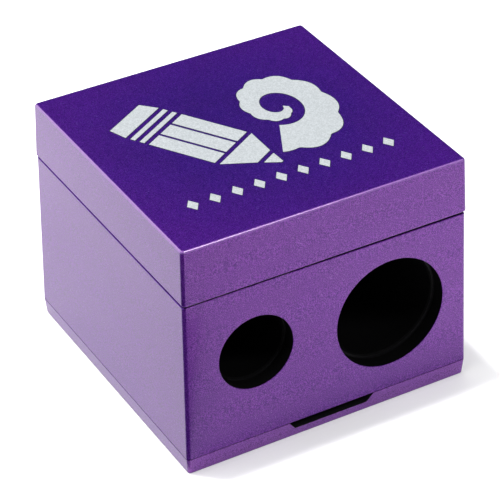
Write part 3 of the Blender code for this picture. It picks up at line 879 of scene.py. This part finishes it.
def screw(name, foot, direction, head_radius, shank_radius, length):
    """A slotted cheese-head screw with a thread; foot is under its head."""
    core = shank_radius - THREAD_DEPTH
    point = -length + SCREW_POINT
    profile = [(-length, SCREW_POINT_SHARE * shank_radius), (point, core)]
    for turn in range(int((length - SCREW_POINT - THREAD_RUNOUT) / THREAD_PITCH)):
        start = point + turn * THREAD_PITCH
        profile.append((start + 0.5 * THREAD_PITCH, shank_radius))
        profile.append((start + THREAD_PITCH, core))
    profile += [
        (0.0, core),
        (0.0, head_radius - SCREW_EDGE),
        (SCREW_EDGE, head_radius),
        (SCREW_HEAD_HEIGHT - SCREW_DOME, head_radius),
        (SCREW_HEAD_HEIGHT - 0.4 * SCREW_DOME, head_radius - 0.4 * SCREW_DOME),
        (SCREW_HEAD_HEIGHT, head_radius - 1.4 * SCREW_DOME),
    ]
    obj = mesh_object(f"{name}_turned", turned(profile, foot, direction))
    across = direction.cross(X_AXIS)
    half = SCREW_SLOT_WIDTH / 2
    floor_z = SCREW_HEAD_HEIGHT - SCREW_SLOT_DEPTH
    top = SCREW_HEAD_HEIGHT * 2
    outline = ((-half, floor_z), (half, floor_z), (half, top), (-half, top))
    cut(obj, prism(outline, foot, across, direction, X_AXIS, -head_radius * 2, head_radius * 2))
    finish_piece(obj, PLATED, "body", (name,), 0.03, 2)


class Barrel:
    """One conical sharpener along +Y at (x, z), with a deck that follows the cone's top line."""

    def __init__(self, name, x, z, bore, tip, half_angle, outer, blade_width, blade_end):
        self.name = name
        self.axis = Vector((x, 0.0, z))
        self.bore = bore
        self.tip = tip
        self.outer = outer
        self.blade_width = blade_width
        self.blade_end = blade_end
        self.tip_y = CONE_START_Y + (bore - tip) / math.tan(half_angle)
        self.end_y = self.tip_y + BARREL_TAIL
        self.deck_origin = Vector((x, CONE_START_Y, z + bore))
        self.down_deck = Vector((0.0, math.cos(half_angle), -math.sin(half_angle)))
        self.deck_normal = Vector((0.0, math.sin(half_angle), math.cos(half_angle)))
        along = BLADE_START + SCREW_PLACE * (blade_end - BLADE_START)
        self.screw_foot = self.deck_origin - X_AXIS * blade_width * SCREW_OFFSET + self.down_deck * along

    def block(self):
        outline = []
        half_steps = ROUND_STEPS // 2
        for step in range(half_steps + 1):
            angle = math.pi * (1.0 + step / half_steps)
            outline.append((self.outer * math.cos(angle), self.outer * math.sin(angle)))
        top = self.bore + COLLAR_WALL
        outline += [(self.outer, top), (-self.outer, top)]
        start = PLATE_FRONT + PLATE_THICKNESS / 2
        return prism(outline, self.axis, X_AXIS, Z_AXIS, Y_AXIS, start, self.end_y)

    def rib(self):
        """A stiffening rib under the barrel, from the front plate."""
        low_z = self.axis.z - self.outer
        start = PLATE_FRONT + PLATE_THICKNESS / 2
        outline = (
            (start, max(low_z - RIB_DROP, PLATE_BOTTOM_Z + GAP)),
            (start + RIB_REACH, low_z + RIB_BITE),
            (start, low_z + 2 * RIB_BITE),
        )
        origin = Vector((self.axis.x, 0.0, 0.0))
        return prism(outline, origin, Y_AXIS, Z_AXIS, X_AXIS, -RIB_THICKNESS / 2, RIB_THICKNESS / 2)

    def bore_cutter(self):
        profile = (
            (PLATE_FRONT - OVERCUT, self.bore + MOUTH_CHAMFER + OVERCUT),
            (PLATE_FRONT + MOUTH_CHAMFER, self.bore),
            (CONE_START_Y, self.bore),
            (self.tip_y, self.tip),
            (FAR, self.tip),
        )
        return turned(profile, self.axis, Y_AXIS, ROUND_STEPS)

    def deck_cutter(self):
        reach = self.outer + DECK_MARGIN
        outline = (
            (-reach, -DECK_DROP),
            (0.0, -DECK_DROP),
            (reach, -DECK_DROP - reach * math.tan(EXIT_SLOPE)),
            (reach, FAR),
            (-reach, FAR),
        )
        return prism(outline, self.deck_origin, X_AXIS, self.deck_normal, self.down_deck, DECK_START, FAR)

    def screw_hole(self):
        radius = BLADE_SCREW_SHANK_RADIUS + GAP
        profile = ((-BLADE_SCREW_LENGTH - GAP, radius), (2 * OVERCUT, radius))
        return turned(profile, self.screw_foot, self.deck_normal)

    def in_bore(self, face):
        middle = face.center
        inner = self.bore
        if middle.y > CONE_START_Y:
            share = (middle.y - CONE_START_Y) / (self.tip_y - CONE_START_Y)
            inner = max(self.tip, self.bore + (self.tip - self.bore) * share)
        margin = MOUTH_MARGIN if middle.y < PLATE_FRONT + BORE_MARGIN else BORE_MARGIN
        near = math.hypot(middle.x - self.axis.x, middle.z - self.axis.z) < inner + margin
        return near and middle.y < self.tip_y

    def blade(self):
        outline = (
            (-self.blade_width, 0.0),
            (0.0, 0.0),
            (0.0, BLADE_EDGE_THICKNESS),
            (-BLADE_GRIND, BLADE_THICKNESS),
            (-self.blade_width, BLADE_THICKNESS),
        )
        origin = self.deck_origin
        bm = prism(outline, origin, X_AXIS, self.deck_normal, self.down_deck, BLADE_START, self.blade_end)
        name = f"{self.name}_blade"
        blade = mesh_object(f"{name}_ground", bm)
        sink = BLADE_THICKNESS - COUNTERSINK
        hole = (
            (-OVERCUT, BLADE_HOLE_RADIUS),
            (sink, BLADE_HOLE_RADIUS),
            (sink + OVERCUT, BLADE_HOLE_RADIUS + OVERCUT),
        )
        cut(blade, turned(hole, self.screw_foot, self.deck_normal))
        finish_piece(blade, BLADE_STEEL, "body", (name,), 0.02, 2)

    def screw(self):
        foot = self.screw_foot + self.deck_normal * (BLADE_THICKNESS + GAP)
        length = BLADE_SCREW_LENGTH + BLADE_THICKNESS + GAP
        screw(f"{self.name}_blade_screw", foot, self.deck_normal, BLADE_SCREW_HEAD_RADIUS,
              BLADE_SCREW_SHANK_RADIUS, length)


SMALL_BARREL = Barrel("small", SMALL_X, SMALL_Z, SMALL_BORE_RADIUS, SMALL_TIP_RADIUS, SMALL_HALF_ANGLE,
                      SMALL_OUTER_RADIUS, SMALL_BLADE_WIDTH, SMALL_BLADE_END)
LARGE_BARREL = Barrel("large", LARGE_X, LARGE_Z, LARGE_BORE_RADIUS, LARGE_TIP_RADIUS, LARGE_HALF_ANGLE,
                      LARGE_OUTER_RADIUS, LARGE_BLADE_WIDTH, LARGE_BLADE_END)
BARRELS = (SMALL_BARREL, LARGE_BARREL)


def insert_plate():
    middle_z = (PLATE_TOP_Z + PLATE_BOTTOM_Z) / 2
    half_height = (PLATE_TOP_Z - PLATE_BOTTOM_Z) / 2
    flat = rounded_square(PLATE_HALF_WIDTH, half_height, PLATE_RADIUS, 0.0)
    rings = []
    for y in (PLATE_FRONT, PLATE_FRONT + PLATE_THICKNESS):
        rings.append([Vector((point.x, y, middle_z + point.y)) for point in flat])
    return loft(rings)


def sharpener_insert():
    insert = mesh_object("insert_moulding", insert_plate())
    for barrel in BARRELS:
        add(insert, barrel.block())
        add(insert, barrel.rib())
    for barrel in BARRELS:
        cut(insert, barrel.deck_cutter())
        cut(insert, barrel.bore_cutter())
        cut(insert, barrel.screw_hole())
    for _, x, z in INSERT_SCREWS:
        radius = INSERT_SCREW_SHANK_RADIUS + GAP
        hole = ((-FAR, radius), (-CAVITY_HALF + 2 * PLATE_THICKNESS, radius))
        cut(insert, turned(hole, Vector((x, 0.0, z)), Y_AXIS))
    pocket_low = (-POCKET_HALF_WIDTH, -CAVITY_HALF, 0.0)
    pocket_high = (POCKET_HALF_WIDTH, -CAVITY_HALF + 2 * PLATE_THICKNESS, POCKET_TOP_Z)
    cut(insert, box(pocket_low, pocket_high))
    # Inside the bores the black is darkened to a painted shade.
    finishes = ((lambda face: any(barrel.in_bore(face) for barrel in BARRELS), BORE_SHADE_BLACK),)
    finish_piece(insert, BLACK, "body", ("sharpener_insert",), 0.10, 3, finishes)


def insert_screws():
    foot_y = PLATE_FRONT + PLATE_THICKNESS + GAP
    length = foot_y + CAVITY_HALF + INSERT_PILOT_DEPTH - GAP
    for name, x, z in INSERT_SCREWS:
        foot = Vector((x, foot_y, z))
        screw(name, foot, Y_AXIS, INSERT_SCREW_HEAD_RADIUS, INSERT_SCREW_SHANK_RADIUS, length)


def hinge_pin(name, axis):
    """A pin with rounded ends and a shallow groove near either end."""
    half = []
    for angle in quarter_turn(CORNER_STEPS):
        distance = PIN_HALF_LENGTH - PIN_ROUNDING * (1.0 - math.cos(angle))
        half.append((distance, PIN_RADIUS - PIN_ROUNDING * (1.0 - math.sin(angle))))
    start = PIN_HALF_LENGTH - PIN_GROOVE_START
    end = start - PIN_GROOVE_WIDTH
    half += [
        (start, PIN_RADIUS),
        (start - PIN_GROOVE_DEPTH, PIN_RADIUS - PIN_GROOVE_DEPTH),
        (end + PIN_GROOVE_DEPTH, PIN_RADIUS - PIN_GROOVE_DEPTH),
        (end, PIN_RADIUS),
    ]
    profile = [(-distance, radius) for distance, radius in half] + half[::-1]
    obj = mesh_object(f"{name}_turned", turned(profile, axis, X_AXIS))
    finish_piece(obj, PLATED, "body", (name,), 0.0)


# Liners and cleaning stick


def stick_centre():
    ceiling = HEIGHT - LID_TOP_THICKNESS - GAP - LINER_WALL
    return Vector((0.0, STICK_Y, ceiling - STICK_CEILING_GAP - STICK_RADIUS))


def lid_liner():
    """Inner cap with a skirt, two open clips with rounded lips, and ribs under its ceiling."""
    ceiling = HEIGHT - LID_TOP_THICKNESS - GAP
    liner = mesh_object("lid_liner_moulding", rounded_block(LINER_HALF, LINER_SKIRT_Z, ceiling))
    inner_half = LINER_HALF - LINER_WALL
    inside = ceiling - LINER_WALL
    cut(liner, rounded_block(inner_half, 0.0, inside))
    centre = stick_centre()
    inner = STICK_RADIUS + CLIP_SLACK
    outer = inner + CLIP_WALL
    low_z = centre.z - STICK_RADIUS
    top_z = inside + LINER_WALL / 2
    for x in (-CLIP_X, CLIP_X):
        for side in (-1, 1):
            outline = (
                (side * inner, top_z),
                (side * inner, low_z + CLIP_LIP),
                (side * (inner + CLIP_LIP_IN), low_z),
                (side * (outer - CLIP_LIP_OUT), low_z),
                (side * outer, low_z + CLIP_LIP),
                (side * outer, inside - CLIP_ROOT_HEIGHT),
                (side * (outer + CLIP_ROOT_WIDTH), top_z),
            )
            origin = Vector((x, centre.y, 0.0))
            add(liner, prism(outline, origin, Y_AXIS, Z_AXIS, X_AXIS, -CLIP_LENGTH / 2, CLIP_LENGTH / 2))
    for x in (-CLIP_X, CLIP_X):
        low = (x - CEILING_RIB_HALF, -inner_half - CEILING_RIB_HALF, inside - CEILING_RIB_HEIGHT)
        add(liner, box(low, (x + CEILING_RIB_HALF, centre.y - outer, top_z)))
    finish_piece(liner, BLACK, "lid", ("lid_liner",), 0.08, 3)


def door_liner():
    """Inner panel of the door: a shallow dish with a rim, and the snap tongue."""
    low = DOOR_LINER_LOW
    high = low + DOOR_LINER_THICKNESS
    liner = mesh_object("door_liner_moulding", rounded_block(DOOR_LINER_HALF, low, high))
    cut(liner, rounded_block(DOOR_LINER_HALF - DOOR_LINER_RIM, high - DOOR_LINER_DISH, FAR))
    middle = low + DOOR_LINER_THICKNESS / 2
    front = -DOOR_LINER_HALF
    back = front + TONGUE_THICKNESS
    outline = (
        (front, middle),
        (back + TONGUE_FOOT, middle),
        (back, high + TONGUE_FOOT),
        (back, TONGUE_TOP_Z - TONGUE_RELIEF),
        (back - TONGUE_RELIEF, TONGUE_TOP_Z),
        (front + TONGUE_NOSE_WIDTH, TONGUE_TOP_Z),
        (front, TONGUE_TOP_Z - TONGUE_NOSE_TOP),
        (front, TONGUE_TOP_Z - TONGUE_NOSE_LOW),
        (front + TONGUE_RELIEF, TONGUE_TOP_Z - TONGUE_NOSE_END),
        (front + TONGUE_RELIEF, high + TONGUE_RELIEF_START),
    )
    add(liner, prism(outline, Vector(), Y_AXIS, Z_AXIS, X_AXIS, -TONGUE_HALF_WIDTH, TONGUE_HALF_WIDTH))
    finish_piece(liner, BLACK, "door", ("door_liner",), 0.08, 3)


def cleaning_stick():
    """A round pick: a blunt point at one end, a spatula at the other, and grip rings between."""
    half = STICK_LENGTH / 2
    profile = []
    for angle in quarter_turn(CORNER_STEPS):
        radius = STICK_TIP_RADIUS * max(0.05, math.sin(angle))
        profile.append((-half + STICK_TIP_RADIUS * (1.0 - math.cos(angle)), radius))
    profile.append((-half + STICK_TAPER, STICK_RADIUS))
    for ring in range(STICK_RINGS):
        start = STICK_RINGS_FROM + ring * STICK_RING_PITCH
        end = start + STICK_RING_WIDTH
        profile += [
            (start, STICK_RADIUS),
            (start + STICK_RING_DEPTH, STICK_RADIUS - STICK_RING_DEPTH),
            (end - STICK_RING_DEPTH, STICK_RADIUS - STICK_RING_DEPTH),
            (end, STICK_RADIUS),
        ]
    for angle in quarter_turn(CORNER_STEPS):
        distance = half - STICK_END_ROUNDING * (1.0 - math.sin(angle))
        profile.append((distance, STICK_RADIUS - STICK_END_ROUNDING * (1.0 - math.cos(angle))))
    centre = stick_centre()
    stick = mesh_object("cleaning_stick_moulding", turned(profile, centre, X_AXIS))
    for side in (-1, 1):
        edge = side * STICK_BLADE_THICKNESS / 2
        root = half - STICK_BLADE_LENGTH
        outline = (
            (root, edge),
            (half + OVERCUT, edge * STICK_BLADE_TAPER),
            (half + OVERCUT, side * STICK_RADIUS * 2),
            (root - STICK_BLADE_RUNOUT, side * STICK_RADIUS * 2),
            (root - STICK_BLADE_RUNOUT, side * STICK_RADIUS),
        )
        cut(stick, prism(outline, centre, X_AXIS, Z_AXIS, Y_AXIS, -STICK_RADIUS * 2, STICK_RADIUS * 2))
    finish_piece(stick, STICK, "stick", ("cleaning_stick",), 0.05, 3)


# Ornament printed on the lid: a pencil, a curled shaving and a row of lozenges


def bar(middle, direction, start, end, width_start, width_end, grow):
    """A straight tapering bar along a direction from middle, as an outline."""
    side = Vector((-direction.y, direction.x))
    low = start - grow
    high = end + grow
    half_low = width_start / 2 + grow
    half_high = width_end / 2 + grow
    return [
        middle + direction * low - side * half_low,
        middle + direction * high - side * half_high,
        middle + direction * high + side * half_high,
        middle + direction * low + side * half_low,
    ]


def pencil_outlines(grow):
    tail = Vector(PENCIL_TAIL)
    along = Vector(PENCIL_TIP) - tail
    length = along.length
    along.normalize()
    outlines = []
    for start, end, width_start, width_end in PENCIL_PARTS:
        first, last = start * length, end * length
        outlines.append(bar(tail, along, first, last, width_start, width_end, grow))
    side = Vector((-along.y, along.x))
    first, last = FACET_FROM * length, FACET_TO * length
    for offset in (-1, 0, 1):
        middle = tail + side * offset * (FACET_WIDTH + FACET_GAP)
        outlines.append(bar(middle, along, first, last, FACET_WIDTH, FACET_WIDTH, grow))
    return outlines


def curl_outline(grow):
    """A shaving: a spiral ribbon with a scalloped outer edge."""
    outer = []
    inner = []
    for step in range(CURL_STEPS + 1):
        share = step / CURL_STEPS
        angle = CURL_FROM + (CURL_TO - CURL_FROM) * share
        radius = CURL_RADIUS_START + (CURL_RADIUS_END - CURL_RADIUS_START) * share
        width = CURL_WIDTH_START + (CURL_WIDTH_END - CURL_WIDTH_START) * share
        scallop = CURL_SCALLOP_DEPTH * width * abs(math.sin(CURL_SCALLOPS * angle))
        direction = Vector((math.cos(angle), CURL_STRETCH * math.sin(angle)))
        outer.append(Vector(CURL_CENTRE) + direction * (radius + width / 2 + scallop + grow))
        inner.append(Vector(CURL_CENTRE) + direction * (radius - width / 2 - grow))
    return outer + inner[::-1]


def lozenge_outlines(grow):
    outlines = []
    for index in range(LOZENGE_COUNT):
        x = LOZENGE_FROM + (LOZENGE_TO - LOZENGE_FROM) * index / (LOZENGE_COUNT - 1)
        half = LOZENGE_HALF + LOZENGE_GROW * grow
        wide = LOZENGE_SHARE * half
        outlines.append([
            Vector((x - wide, LOZENGE_Y)),
            Vector((x, LOZENGE_Y - half)),
            Vector((x + wide, LOZENGE_Y)),
            Vector((x, LOZENGE_Y + half)),
        ])
    return outlines


def printed(name, grow, thickness, material):
    """Thin raised ink on the lid's top, every part bedded a little into the lacquer."""
    whole = bmesh.new()
    for outline in pencil_outlines(grow) + [curl_outline(grow)] + lozenge_outlines(grow):
        levels = (HEIGHT - PRINT_BED, HEIGHT + thickness)
        loft([[(point.x, point.y, z) for point in outline] for z in levels], whole)
    obj = mesh_object(name, whole)
    finish_piece(obj, material, "lid", (), PRINT_ROUNDING * thickness / MM, 2)


# Studio


def camera():
    data = bpy.data.cameras.new("camera")
    data.lens = CAMERA_LENS
    data.sensor_width = CAMERA_SENSOR
    data.clip_start = CAMERA_CLIP
    obj = bpy.data.objects.new("camera", data)
    tilt = Matrix.Rotation(math.radians(90.0) - CAMERA_ELEVATION, 4, "X")
    turn = Matrix.Rotation(CAMERA_AZIMUTH, 4, "Z") @ tilt @ Matrix.Rotation(CAMERA_ROLL, 4, "Z")
    obj.matrix_world = Matrix.Translation(CAMERA_POSITION) @ turn
    bpy.context.scene.collection.objects.link(obj)
    bpy.context.scene.camera = obj


def light(name, direction, distance, side, power, in_reflections):
    data = bpy.data.lights.new(name, "AREA")
    data.shape = "SQUARE"
    data.size = side
    data.energy = power
    obj = bpy.data.objects.new(name, data)
    middle = Vector((0.0, 0.0, HEIGHT / 2))
    obj.location = middle + Vector(direction).normalized() * distance
    obj.rotation_euler = (obj.location - middle).to_track_quat("Z", "Y").to_euler()
    obj.visible_glossy = in_reflections
    bpy.context.scene.collection.objects.link(obj)


def reflection_card(name, points, brightness):
    """A flat card just above the floor, black or glowing. Only reflections see it."""
    bm = bmesh.new()
    bm.faces.new([bm.verts.new(point) for point in points])
    card = mesh_object(name, bm)
    graph = Graph(name)
    graph.set(Base_Color=(0.0, 0.0, 0.0, 1.0), Roughness=1.0, Specular_IOR_Level=0.0)
    graph.set(Emission_Color=(1.0, 1.0, 1.0, 1.0), Emission_Strength=brightness)
    card.data.materials.append(graph.material)
    card.visible_camera = False
    card.visible_diffuse = False
    card.visible_shadow = False
    card.visible_transmission = False


def black_card():
    """Before the near corner, so that the front face darkens towards it."""
    corner = Vector((-body_half(0.0), -body_half(0.0), CARD_HEIGHT))
    points = [corner]
    for step in range(BLACK_CARD_STEPS + 1):
        angle = BLACK_CARD_FROM + (BLACK_CARD_TO - BLACK_CARD_FROM) * step / BLACK_CARD_STEPS
        radius = BLACK_CARD_RADIUS if angle < BLACK_CARD_TURN else BLACK_CARD_NEAR_RADIUS
        points.append(corner + radius * Vector((math.cos(angle), math.sin(angle), 0.0)))
    reflection_card("black_card", points, 0.0)


def white_card():
    """Before the right half of the front face, so that it lightens that way."""
    low = (WHITE_CARD_FROM, -WHITE_CARD_REACH)
    high = (WHITE_CARD_REACH, -WHITE_CARD_NEAR)
    corners = (low, (high[0], low[1]), high, (low[0], high[1]))
    reflection_card("white_card", [Vector((x, y, CARD_HEIGHT)) for x, y in corners], WHITE_CARD_BRIGHTNESS)


def world():
    """Pale for the camera, dim grey for diffuse light, and nearly black in reflections."""
    scene = bpy.context.scene
    scene.world = bpy.data.worlds.new("studio")
    scene.world.use_nodes = True
    nodes = scene.world.node_tree.nodes
    links = scene.world.node_tree.links
    path = nodes.new("ShaderNodeLightPath")
    shown = nodes["Background"]
    shown.inputs["Color"].default_value = (*ROOM_GREY, 1.0)
    for output, colour in (("Is Glossy Ray", ROOM_DARK), ("Is Camera Ray", ROOM_PALE)):
        background = nodes.new("ShaderNodeBackground")
        background.inputs["Color"].default_value = (*colour, 1.0)
        mix = nodes.new("ShaderNodeMixShader")
        links.new(path.outputs[output], mix.inputs["Fac"])
        links.new(shown.outputs[0], mix.inputs[1])
        links.new(background.outputs["Background"], mix.inputs[2])
        shown = mix
    links.new(shown.outputs[0], nodes["World Output"].inputs["Surface"])


def floor():
    low = (-FLOOR_HALF, -FLOOR_HALF, -FLOOR_THICKNESS)
    obj = mesh_object("floor", box(low, (FLOOR_HALF, FLOOR_HALF, 0.0)))
    obj.data.materials.append(floor_paper())


def colour_settings():
    settings = bpy.context.scene.view_settings
    settings.view_transform = "Standard"
    settings.look = "None"


camera()
world()
for values in LIGHTS:
    light(*values)
black_card()
white_card()
floor()
colour_settings()
body_shell()
top_lid()
bottom_door()
sharpener_insert()
for barrel in BARRELS:
    barrel.blade()
    barrel.screw()
insert_screws()
hinge_pin("lid_hinge_pin", LID_AXIS)
hinge_pin("door_hinge_pin", DOOR_AXIS)
lid_liner()
door_liner()
cleaning_stick()
# The dark border under the print is painted shade along its edges.
printed("lid_print_edge_shade", OUTLINE_GROW, OUTLINE_THICKNESS, PRINT_EDGE_SHADE)
printed("lid_print", 0.0, PRINT_THICKNESS, INK)
